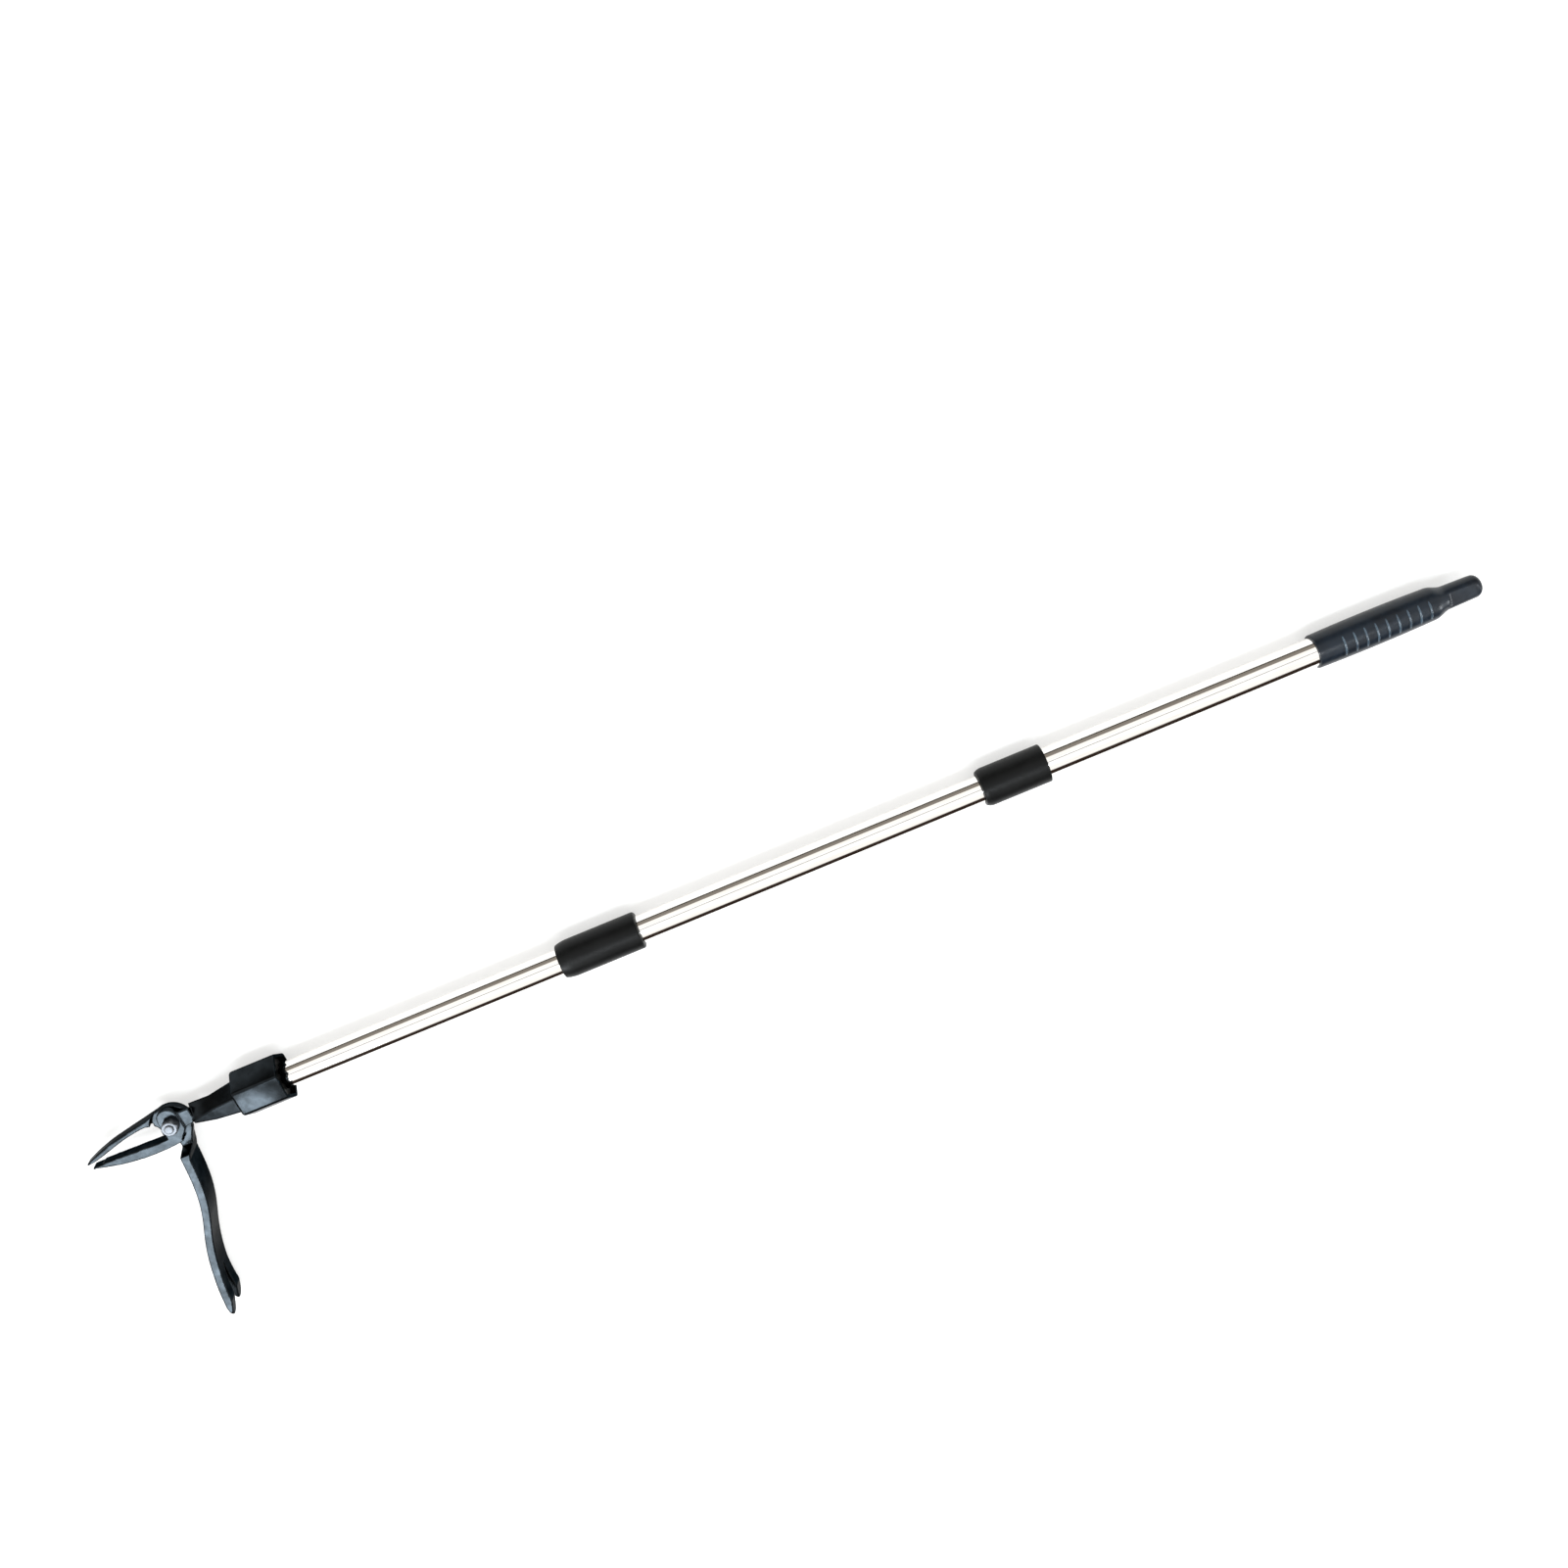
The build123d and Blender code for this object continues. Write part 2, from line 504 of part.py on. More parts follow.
def twist_lock(name, tube_end, inner_tube_r, outer_tube_r):
    """The lock at a tube's inner end: an off-centre journal that wedges a split ring as it turns."""
    outer_bore = outer_tube_r - TUBE_WALL
    flange = tube_end
    journal = flange + LOCK_FLANGE_LENGTH
    ring = journal + LOCK_SIDE_CLEARANCE
    washer = ring + LOCK_RING_LENGTH + LOCK_SIDE_CLEARANCE
    head = washer + LOCK_WASHER_T
    core = rod(tube_end - LOCK_PLUG_LENGTH, LOCK_PLUG_LENGTH, inner_tube_r - TUBE_WALL)
    core += rod(flange, LOCK_FLANGE_LENGTH, outer_bore - LOCK_FLANGE_CLEARANCE)
    core += rod(journal, washer - journal, LOCK_JOURNAL_R, LOCK_OFFSET)
    screw = rod(head - LOCK_SCREW_LENGTH, LOCK_SCREW_LENGTH, LOCK_SCREW_R, LOCK_OFFSET)
    screw_head = rod(head, LOCK_SCREW_HEAD_H, LOCK_SCREW_HEAD_R, LOCK_OFFSET)
    screw_head = fillet(screw_head.edges().group_by(Axis.X)[-1], LOCK_SCREW_HEAD_H / 2)
    band = rod(ring, LOCK_RING_LENGTH, outer_bore - LOCK_RING_CLEARANCE)
    band -= rod(ring, LOCK_RING_LENGTH, LOCK_JOURNAL_R + LOCK_JOURNAL_CLEARANCE, LOCK_OFFSET)
    split = Pos(ring + LOCK_RING_LENGTH / 2, outer_bore, AXIS_Z) * Box(
        LOCK_RING_LENGTH, 2 * (outer_bore - LOCK_JOURNAL_R), LOCK_SPLIT)
    washer_r = outer_bore - LOCK_OFFSET - LOCK_WASHER_MARGIN
    disc = rod(washer, LOCK_WASHER_T, washer_r, LOCK_OFFSET) - screw
    return {
        name + "_lock_core": core - screw,
        name + "_lock_ring": band - split,
        name + "_lock_washer": disc,
        name + "_lock_screw": screw + screw_head,
    }


# ---------------------------------------------------------------------------------------------------
# Grip
# ---------------------------------------------------------------------------------------------------
def grip_radius(distance):
    """The grip body's radius at a distance from its open end, on a shallow arc."""
    share = distance / GRIP_BODY_LENGTH
    chord = GRIP_END_R + (GRIP_SHOULDER_R - GRIP_END_R) * share
    middle = (GRIP_END_R + GRIP_SHOULDER_R) / 2
    return chord + 4 * (GRIP_BELLY_R - middle) * share * (1 - share)


def grip_outline():
    """Half the grip's outline, as (distance from its open end, radius)."""
    length = GRIP_BODY_LENGTH + GRIP_SHOULDER_LENGTH + GRIP_TAIL_LENGTH
    shoulder, neck = GRIP_BODY_LENGTH, GRIP_BODY_LENGTH + GRIP_SHOULDER_LENGTH
    open_end, belly = (0, GRIP_END_R), (shoulder / 2, grip_radius(shoulder / 2))
    tail_start = (neck, GRIP_TAIL_R + GRIP_TAIL_FLARE)
    tail_end = (length - GRIP_TAIL_ROUNDING, GRIP_TAIL_R)
    cap_start = (length, GRIP_TAIL_R - GRIP_TAIL_ROUNDING)
    bulge = GRIP_TAIL_ROUNDING * (1 - math.sqrt(0.5))
    return make_face([
        ThreePointArc(open_end, belly, (shoulder, GRIP_SHOULDER_R)),
        Spline((shoulder, GRIP_SHOULDER_R), tail_start, tangents=[(1, -0.1), (1, -0.05)]),
        Line(tail_start, tail_end),
        ThreePointArc(tail_end, (length - bulge, GRIP_TAIL_R - bulge), cap_start),
        Polyline(cap_start, (length, 0), (0, 0), open_end),
    ])


def grip():
    """The moulded grip: a swelling body, ribs on two sides, a shoulder and a flattened tail."""
    section = Plane(origin=(GRIP_X, 0, AXIS_Z), x_dir=(1, 0, 0), z_dir=(0, -1, 0))
    solid = revolve(section * grip_outline(), Axis((GRIP_X, 0, AXIS_Z), (1, 0, 0)))
    sweep_axis = Axis((GRIP_X, 0, AXIS_Z + RIB_SWEEP_OFFSET), (1, 0, 0))
    for index in range(RIB_COUNT):
        distance = RIB_FIRST + index * RIB_PITCH
        rib = Pos(distance, grip_radius(distance) + RIB_STAND - RIB_R) * Circle(RIB_R)
        bow = revolve(section * rib, sweep_axis, RIB_ARC).rotate(sweep_axis, -RIB_ARC / 2)
        solid += bow
        solid += turned(bow, 180)
    flat_start = GRIP_X + GRIP_BODY_LENGTH + GRIP_SHOULDER_LENGTH
    flat_length = GRIP_TAIL_LENGTH - GRIP_TAIL_ROUNDING
    for side in (1, -1):
        offset = side * (GRIP_TAIL_FLATS + GRIP_TAIL_R) / 2
        solid -= Pos(flat_start + flat_length / 2, 0, AXIS_Z + offset) * Box(
            flat_length, 2 * GRIP_TAIL_R, GRIP_TAIL_R)
    solid -= rod(GRIP_X, UPPER_TUBE_IN_GRIP + GRIP_END_MARGIN, UPPER_R)
    mouth = solid.edges().filter_by(GeomType.CIRCLE).group_by(Axis.X)[0]
    return fillet(mouth.sort_by(SortBy.RADIUS)[-1], GRIP_END_ROUNDING)


def grip_plug():
    """The cup that stiffens the upper tube's end inside the grip."""
    bore = UPPER_R - TUBE_WALL
    start = UPPER_TUBE_END - GRIP_PLUG_LENGTH
    cup = rod(start, GRIP_PLUG_LENGTH, bore)
    return cup - rod(start, GRIP_PLUG_LENGTH - GRIP_PLUG_WALL, bore - GRIP_PLUG_WALL)


# ---------------------------------------------------------------------------------------------------
# Assembly
# ---------------------------------------------------------------------------------------------------
def pieces():
    """Every piece of the tool by name."""
    made = {"jaw_arm": jaw_arm(), "foot_lever": foot_lever(), "grip": grip(), "grip_plug": grip_plug()}
    made |= pivot_fasteners()
    made |= socket_pieces()
    made |= tubes()
    made |= collar("lower", LOWER_COLLAR_X, LOWER_COLLAR_LENGTH, LOWER_R, MIDDLE_R,
                   LOWER_COLLAR_TAPER, LOWER_COLLAR_END_ROUNDING)
    made |= collar("upper", UPPER_COLLAR_X, UPPER_COLLAR_LENGTH, MIDDLE_R, UPPER_R,
                   UPPER_COLLAR_TAPER, UPPER_COLLAR_END_ROUNDING)
    made |= twist_lock("lower", LOWER_TUBE_END, LOWER_R, MIDDLE_R)
    made |= twist_lock("upper", MIDDLE_TUBE_END, MIDDLE_R, UPPER_R)
    return made


os.makedirs("parts", exist_ok=True)
for node, piece in pieces().items():
    export_step(piece, "parts/" + node + ".step")
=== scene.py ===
"""Looks of a stand-up weed puller with a telescopic pole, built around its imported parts.

The pole lies along +X, the jaw pivot stands along +Z and the foot lever points to -Y. Sizes in the
classes are in millimetres, and every mesh is in metres in the parts' own frame.
"""

import logging
import math
from dataclasses import dataclass
from enum import Enum

import bmesh
import bpy
from mathutils import Matrix, Vector


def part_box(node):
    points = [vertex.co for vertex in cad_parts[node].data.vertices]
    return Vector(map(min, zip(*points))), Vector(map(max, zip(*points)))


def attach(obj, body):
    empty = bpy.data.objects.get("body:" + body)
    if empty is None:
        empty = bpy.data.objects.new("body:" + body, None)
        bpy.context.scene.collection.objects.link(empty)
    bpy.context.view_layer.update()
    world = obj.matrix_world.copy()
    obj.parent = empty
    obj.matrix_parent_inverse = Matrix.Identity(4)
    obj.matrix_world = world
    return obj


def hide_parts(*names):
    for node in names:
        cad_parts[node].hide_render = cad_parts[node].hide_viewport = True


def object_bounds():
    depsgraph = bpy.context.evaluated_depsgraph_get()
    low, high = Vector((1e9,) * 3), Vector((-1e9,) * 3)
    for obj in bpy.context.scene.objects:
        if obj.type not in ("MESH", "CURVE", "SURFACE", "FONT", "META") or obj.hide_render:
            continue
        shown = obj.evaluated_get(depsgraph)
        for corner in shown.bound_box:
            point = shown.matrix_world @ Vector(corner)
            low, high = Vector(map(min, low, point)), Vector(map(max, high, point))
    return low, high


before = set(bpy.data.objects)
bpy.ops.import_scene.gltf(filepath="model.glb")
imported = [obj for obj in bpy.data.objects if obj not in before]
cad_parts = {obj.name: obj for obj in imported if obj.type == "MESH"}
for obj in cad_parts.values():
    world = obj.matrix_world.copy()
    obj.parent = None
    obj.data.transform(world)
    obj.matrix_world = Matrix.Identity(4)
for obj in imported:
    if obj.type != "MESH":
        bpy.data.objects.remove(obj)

CAD_BOX = [list(point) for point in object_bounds()]
MM = 0.001
MERGE_MM = 0.002
NOISE_RANGE = (0.3, 0.7)  # where nearly all of a noise's values lie
TINT_RANGE = (0.35, 0.65)  # the noise values of a finish's two colours
JOIN_DEGREES = 0.4  # faces closer than this to one plane are joined
SHARP_DEGREES = 35.0  # edges sharper than this keep a crease in the shading
FORGED_SHARP_DEGREES = 80.0  # the same on a forging, whose edges are all round
EDGE_DEGREES = 32.0  # edges sharper than this are rounded on a fastener
SMOOTHING = 0.5  # how far one round of smoothing moves a vertex to its neighbours' middle
END_TOLERANCE = 1e-6  # metres within which a vertex counts as on an end plane
FACING = 0.99  # cosine above which a face counts as looking along the pole
POLE_AXIS = Vector((1.0, 0.0, 0.0))
log = logging.getLogger("weed_puller")


class Slot(Enum):
    """The record's material slots, which are passed along with new pieces but not given to them."""

    ENAMEL = "black_enamel"
    STAINLESS = "stainless"
    ZINC = "zinc"
    COLLAR = "collar_plastic"
    GRIP = "grip_plastic"


class Body(Enum):
    """The moving bodies of the tool."""

    HEAD = "head"
    LEVER = "lever_half"
    MIDDLE = "middle_section"
    UPPER = "upper_section"


# ---------------------------------------------------------------------------------------------------
# Shader helpers
# ---------------------------------------------------------------------------------------------------
def linear(code: str) -> tuple[float, float, float, float]:
    """Turns an sRGB hex colour into linear RGBA.

    Args:
        code: the colour as "#rrggbb".

    Returns:
        Red, green, blue and an alpha of one.
    """
    channels = [int(code[start:start + 2], 16) / 255 for start in (1, 3, 5)]
    scaled = [c / 12.92 if c <= 0.04045 else ((c + 0.055) / 1.055) ** 2.4 for c in channels]
    return (scaled[0], scaled[1], scaled[2], 1.0)


def per_metre(size_mm: float) -> float:
    """The noise scale whose features are size_mm across, in object coordinates."""
    return 1.0 / (size_mm * MM)


def add_node(tree: bpy.types.NodeTree, kind: str, inputs: dict | None = None,
             **settings) -> bpy.types.Node:
    """Adds a shader node with its settings and links.

    Args:
        tree: the node tree that gets the node.
        kind: the node's type name.
        inputs: a value or an output socket for each named input.
        **settings: the node's own properties.

    Returns:
        The new node.
    """
    node = tree.nodes.new(kind)
    for name, value in settings.items():
        setattr(node, name, value)
    for name, value in (inputs or {}).items():
        if isinstance(value, bpy.types.NodeSocket):
            tree.links.new(value, node.inputs[name])
        else:
            node.inputs[name].default_value = value
    return node


def grain(tree: bpy.types.NodeTree, size_mm: float, stretch: float = 1.0,
          detail: float = 2.0) -> bpy.types.NodeSocket:
    """Adds noise on object coordinates.

    Args:
        tree: the node tree that gets the nodes.
        size_mm: how far apart the noise's features are.
        stretch: how many times longer the features are along the pole.
        detail: how many finer octaves lie on them.

    Returns:
        The noise's value, from zero to one.
    """
    place = add_node(tree, "ShaderNodeTexCoord")
    turn = add_node(tree, "ShaderNodeMapping",
                    {"Vector": place.outputs["Object"], "Scale": (1.0 / stretch, 1.0, 1.0)})
    noise = add_node(tree, "ShaderNodeTexNoise",
                     {"Vector": turn.outputs["Vector"], "Scale": per_metre(size_mm), "Detail": detail})
    return noise.outputs["Fac"]


def spread(tree: bpy.types.NodeTree, value: bpy.types.NodeSocket, low: float,
           high: float) -> bpy.types.NodeSocket:
    """Spreads a noise value over a range.

    Args:
        tree: the node tree that gets the node.
        value: the noise, which mostly lies within NOISE_RANGE.
        low: the result where the noise is low.
        high: the result where the noise is high.

    Returns:
        The spread value.
    """
    least, most = NOISE_RANGE
    node = add_node(tree, "ShaderNodeMapRange", {"Value": value, "From Min": least, "From Max": most,
                                                 "To Min": low, "To Max": high})
    return node.outputs["Result"]


def tint(tree: bpy.types.NodeTree, value: bpy.types.NodeSocket, first: str,
         second: str) -> bpy.types.NodeSocket:
    """Mixes two colours by a noise value.

    Args:
        tree: the node tree that gets the node.
        value: the noise that mixes them.
        first: the colour where the noise is low.
        second: the colour where the noise is high.

    Returns:
        The mixed colour.
    """
    node = add_node(tree, "ShaderNodeValToRGB", {"Fac": value})
    for stop, place, code in zip(node.color_ramp.elements, TINT_RANGE, (first, second)):
        stop.position, stop.color = place, linear(code)
    return node.outputs["Color"]


def bumped(tree: bpy.types.NodeTree, height: bpy.types.NodeSocket, depth_mm: float,
           under: bpy.types.NodeSocket | None = None) -> bpy.types.NodeSocket:
    """Adds a bump of a real depth.

    Args:
        tree: the node tree that gets the node.
        height: the value that raises the surface.
        depth_mm: how deep the relief is.
        under: the normal that this bump lies on, if there is one.

    Returns:
        The bumped normal.
    """
    inputs = {"Height": height, "Distance": depth_mm * MM, "Strength": 1.0}
    if under is not None:
        inputs["Normal"] = under
    return add_node(tree, "ShaderNodeBump", inputs).outputs["Normal"]


# ---------------------------------------------------------------------------------------------------
# Finishes
# ---------------------------------------------------------------------------------------------------
@dataclass(frozen=True)
class Finish:
    """What every finish shares: a material with one surface shader, made once."""

    name: str

    def material(self) -> bpy.types.Material:
        """Makes the material, or gives the one that is already made.

        Returns:
            The finished material.
        """
        made = bpy.data.materials.get(self.name)
        if made is None:
            made = bpy.data.materials.new(self.name)
            made.use_nodes = True
            tree = made.node_tree
            self.dress(tree, tree.nodes["Principled BSDF"])
        return made

    def dress(self, tree: bpy.types.NodeTree, shader: bpy.types.Node) -> None:
        """Sets the surface; each finish has its own."""
        raise NotImplementedError


@dataclass(frozen=True)
class StovingEnamel(Finish):
    """Satin black stoving enamel sprayed over a drop-forged steel head.

    The eye gets a smooth dark film with soft highlights, a faint orange peel from the spray, and the
    slow unevenness of the forging under it. The steel shines back through the thin film, which dims
    it most at a low angle, where the way through the film is longest.
    """

    dark: str = "#1c1f21"
    light: str = "#262a2d"
    low_angle: str = "#adadad"
    peel_mm: float = 1.1
    peel_depth_mm: float = 0.004
    forging_mm: float = 11.0
    forging_depth_mm: float = 0.03
    gloss: tuple[float, float] = (0.20, 0.27)

    def dress(self, tree: bpy.types.NodeTree, shader: bpy.types.Node) -> None:
        """Sets colour, gloss and relief of the enamel.

        Args:
            tree: the material's node tree.
            shader: the material's surface shader.
        """
        cloud = grain(tree, self.forging_mm)
        tree.links.new(tint(tree, cloud, self.dark, self.light), shader.inputs["Base Color"])
        rough = spread(tree, grain(tree, self.forging_mm / 3), *self.gloss)
        tree.links.new(rough, shader.inputs["Roughness"])
        relief = bumped(tree, cloud, self.forging_depth_mm)
        relief = bumped(tree, grain(tree, self.peel_mm), self.peel_depth_mm, relief)
        tree.links.new(relief, shader.inputs["Normal"])
        shader.inputs["Metallic"].default_value = 1.0
        shader.inputs["Specular Tint"].default_value = linear(self.low_angle)


@dataclass(frozen=True)
class PolishedStainless(Finish):
    """Welded stainless tube, drawn and mirror polished.

    The eye gets a clear mirror with very fine lines along the pole from drawing, and slow
    waves that bend the reflections a little.
    """

    light: str = "#f7f5f2"
    dark: str = "#ece9e4"
    line_mm: float = 0.45
    line_depth_mm: float = 0.0006
    wave_mm: float = 7.0
    wave_depth_mm: float = 0.008
    line_stretch: float = 60.0
    wave_stretch: float = 8.0
    gloss: tuple[float, float] = (0.05, 0.11)

    def dress(self, tree: bpy.types.NodeTree, shader: bpy.types.Node) -> None:
        """Sets colour, gloss and relief of the tube.

        Args:
            tree: the material's node tree.
            shader: the material's surface shader.
        """
        lines = grain(tree, self.line_mm, self.line_stretch)
        tree.links.new(tint(tree, lines, self.dark, self.light), shader.inputs["Base Color"])
        tree.links.new(spread(tree, lines, *self.gloss), shader.inputs["Roughness"])
        relief = bumped(tree, grain(tree, self.wave_mm, self.wave_stretch), self.wave_depth_mm)
        relief = bumped(tree, lines, self.line_depth_mm, relief)
        tree.links.new(relief, shader.inputs["Normal"])
        shader.inputs["Metallic"].default_value = 1.0


@dataclass(frozen=True)
class ZincPlate(Finish):
    """Bright zinc electroplated on a turned or cold-headed steel fastener.

    The eye gets a light blue-white metal with small clouds of duller plating and fine tool marks.
    """

    light: str = "#7d8186"
    dark: str = "#5f6368"
    cloud_mm: float = 1.8
    mark_depth_mm: float = 0.006
    gloss: tuple[float, float] = (0.42, 0.54)

    def dress(self, tree: bpy.types.NodeTree, shader: bpy.types.Node) -> None:
        """Sets colour, gloss and relief of the plating.

        Args:
            tree: the material's node tree.
            shader: the material's surface shader.
        """
        cloud = grain(tree, self.cloud_mm)
        tree.links.new(tint(tree, cloud, self.dark, self.light), shader.inputs["Base Color"])
        tree.links.new(spread(tree, cloud, *self.gloss), shader.inputs["Roughness"])
        marks = bumped(tree, grain(tree, self.cloud_mm / 4), self.mark_depth_mm)
        tree.links.new(marks, shader.inputs["Normal"])
        shader.inputs["Metallic"].default_value = 1.0


@dataclass(frozen=True)
class MouldedPlastic(Finish):
    """Injection-moulded thermoplastic from a spark-eroded tool.

    The eye gets one even colour with a fine matt grain from the tool, a soft broad sheen, and faint
    flow clouds.
    """

    dark: str = "#050606"
    light: str = "#0a0b0b"
    grain_mm: float = 0.7
    grain_detail: float = 3.0
    depth_mm: float = 0.02
    gloss: tuple[float, float] = (0.36, 0.46)
    cloud_mm: float = 14.0
    ior: float = 1.49
    specular: float = 0.5

    def dress(self, tree: bpy.types.NodeTree, shader: bpy.types.Node) -> None:
        """Sets colour, gloss and grain of the plastic.

        Args:
            tree: the material's node tree.
            shader: the material's surface shader.
        """
        cloud = grain(tree, self.cloud_mm)
        tree.links.new(tint(tree, cloud, self.dark, self.light), shader.inputs["Base Color"])
        rough = spread(tree, grain(tree, self.cloud_mm / 4), *self.gloss)
        tree.links.new(rough, shader.inputs["Roughness"])
        relief = bumped(tree, grain(tree, self.grain_mm, detail=self.grain_detail), self.depth_mm)
        tree.links.new(relief, shader.inputs["Normal"])
        shader.inputs["IOR"].default_value = self.ior
        shader.inputs["Specular IOR Level"].default_value = self.specular


ENAMEL = StovingEnamel("satin_black_stoving_enamel")
STAINLESS = PolishedStainless("polished_drawn_stainless")
ZINC = ZincPlate("bright_zinc_plate")
COLLAR_PLASTIC = MouldedPlastic("black_moulded_polypropylene", gloss=(0.38, 0.46), specular=0.16)
# The grip's plastic holds a little blue pigment, which shows where the light is full on it.
GRIP_PLASTIC = MouldedPlastic("blue_black_moulded_polypropylene", dark="#0b121a", light="#111b25",
                              grain_mm=0.8, depth_mm=0.02, gloss=(0.28, 0.38), specular=0.3)
# Fingers polish the ribs' tops, which makes them glossier. Their paler blue grey than the body is a
# painted highlight that makes the ribs stand out.
RIB_PAINTED_HIGHLIGHT_PLASTIC = MouldedPlastic("polished_polypropylene_painted_highlight", dark="#2a3844", light="#42535f",
                              grain_mm=0.8, depth_mm=0.01, gloss=(0.2, 0.3), specular=0.6)
# Unpigmented nylon is an ivory white with a soft sheen.
NYLON = MouldedPlastic("natural_moulded_nylon", dark="#bdb8a6", light="#cfcab8", gloss=(0.35, 0.5),
                       ior=1.53)
BLACK_NYLON = MouldedPlastic("black_moulded_nylon", dark="#0a0a0a", light="#121211", gloss=(0.4, 0.55),
                             ior=1.53, specular=0.3)
# The wipers' felt is pressed so hard that it looks like a dead matt ring with a very fine grain.
FELT = MouldedPlastic("black_pressed_felt", dark="#0c0c0c", light="#161514", grain_mm=0.5,
                      gloss=(0.65, 0.8), ior=1.52)


# ---------------------------------------------------------------------------------------------------
# Mesh helpers
# ---------------------------------------------------------------------------------------------------
def axis_height() -> float:
    """The height of the pole's axis, which is the middle of the lower tube."""
    low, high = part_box("lower_tube")
    return (low.z + high.z) / 2


def settle(name: str, bm: bmesh.types.BMesh,
           sharp_degrees: float = SHARP_DEGREES) -> bpy.types.Object:
    """Turns a bmesh into an object at the origin with outward faces.

    Args:
        name: the new object's name.
        bm: the shape, in metres; it is freed.
        sharp_degrees: edges sharper than this keep a crease in the shading.

    Returns:
        The new object.
    """
    bmesh.ops.recalc_face_normals(bm, faces=bm.faces)
    mesh = bpy.data.meshes.new(name)
    bm.to_mesh(mesh)
    bm.free()
    mesh.shade_smooth()
    mesh.set_sharp_from_angle(angle=math.radians(sharp_degrees))
    made = bpy.data.objects.new(name, mesh)
    bpy.context.scene.collection.objects.link(made)
    return made


def copied(node: str, name: str) -> bpy.types.Object:
    """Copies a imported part's mesh, merged and with its flat faces joined.

    Args:
        node: the part's node.
        name: the copy's name.

    Returns:
        The copy, which replaces nothing yet.
    """
    bm = bmesh.new()
    bm.from_mesh(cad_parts[node].data)
    bmesh.ops.remove_doubles(bm, verts=bm.verts, dist=MERGE_MM * MM)
    bmesh.ops.dissolve_limit(bm, angle_limit=math.radians(JOIN_DEGREES), verts=bm.verts,
                             edges=bm.edges)
    return settle(name, bm)


def forged(node: str, name: str, voxel_mm: float, rounds: int) -> bpy.types.Object:
    """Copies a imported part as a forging, with an even skin and every edge rounded.

    Args:
        node: the part's node.
        name: the copy's name.
        voxel_mm: the skin's mesh size.
        rounds: how many times the skin is smoothed, which rounds the edges.

    Returns:
        The forged copy.
    """
    rough = copied(node, name + "_rough")
    remesh = rough.modifiers.new("even skin", "REMESH")
    remesh.mode, remesh.voxel_size = "VOXEL", voxel_mm * MM
    skin = bpy.data.meshes.new_from_object(rough.evaluated_get(bpy.context.evaluated_depsgraph_get()))
    bpy.data.objects.remove(rough)
    bm = bmesh.new()
    bm.from_mesh(skin)
    bpy.data.meshes.remove(skin)
    for _ in range(rounds):
        bmesh.ops.smooth_vert(bm, verts=bm.verts, factor=SMOOTHING, use_axis_x=True,
                              use_axis_y=True, use_axis_z=True)
    return settle(name, bm, FORGED_SHARP_DEGREES)


def verts_of(geometry: list) -> list[bmesh.types.BMVert]:
    """The vertices among an operator's new geometry."""
    return [item for item in geometry if isinstance(item, bmesh.types.BMVert)]


def hexagon(bm: bmesh.types.BMesh, flats: float, length: float, matrix: Matrix) -> None:
    """Adds a hexagonal bar that stands on a plane.

    Args:
        bm: the shape that gets the bar.
        flats: the size across the flats, in metres.
        length: the bar's length, in metres.
        matrix: the plane's place; the bar's corners lie along its Y.
    """
    radius = flats / 2 / math.cos(math.pi / 6)
    ring = bmesh.ops.create_circle(bm, cap_ends=True, segments=6, radius=radius,
                                   matrix=matrix)["verts"]
    face = next(face for face in ring[0].link_faces if len(face.verts) == 6)
    top = bmesh.ops.extrude_face_region(bm, geom=[face], use_keep_orig=True)["geom"]
    shift = matrix.to_3x3() @ Vector((0.0, 0.0, length))
    bmesh.ops.translate(bm, verts=verts_of(top), vec=shift)


def rounded(bm: bmesh.types.BMesh, edges: list[bmesh.types.BMEdge], width: float,
            segments: int = 3) -> None:
    """Bevels edges to a round of the given width, in metres."""
    bmesh.ops.bevel(bm, geom=edges, offset=width, offset_type="OFFSET", affect="EDGES",
                    segments=segments, profile=0.5, material=-1, clamp_overlap=True)


def softened(piece: bpy.types.Object, width_mm: float, segments: int) -> bpy.types.Object:
    """Rounds a piece's sharp edges.

    Args:
        piece: the object that gets rounded edges.
        width_mm: the rounding's width.
        segments: how many faces make the rounding.

    Returns:
        The same object.
    """
    bevel = piece.modifiers.new("edge rounding", "BEVEL")
    bevel.width, bevel.segments = width_mm * MM, segments
    bevel.limit_method, bevel.angle_limit = "ANGLE", math.radians(EDGE_DEGREES)
    bevel.harden_normals = True
    return piece


def spun(name: str, outline: list[tuple[float, float]], steps: int = 128) -> bpy.types.Object:
    """Spins a closed outline about the pole's axis.

    Args:
        name: the new object's name.
        outline: (place along the pole, radius) in metres; it may touch the axis.
        steps: how many faces go round.

    Returns:
        The new object.
    """
    bm = bmesh.new()
    height = axis_height()
    points = [bm.verts.new((x, 0.0, height + radius)) for x, radius in outline]
    edges = [bm.edges.new(pair) for pair in zip(points, points[1:] + points[:1])]
    bmesh.ops.spin(bm, geom=points + edges, cent=(0, 0, height), axis=POLE_AXIS, angle=math.tau,
                   steps=steps, use_merge=True)
    bmesh.ops.remove_doubles(bm, verts=bm.verts, dist=MERGE_MM * MM)
    strip_wires(bm)
    return settle(name, bm)


def strip_wires(bm: bmesh.types.BMesh) -> None:
    """Removes edges that carry no face, such as those along a spin's axis."""
    bmesh.ops.delete(bm, geom=[edge for edge in bm.edges if not edge.link_faces], context="EDGES")


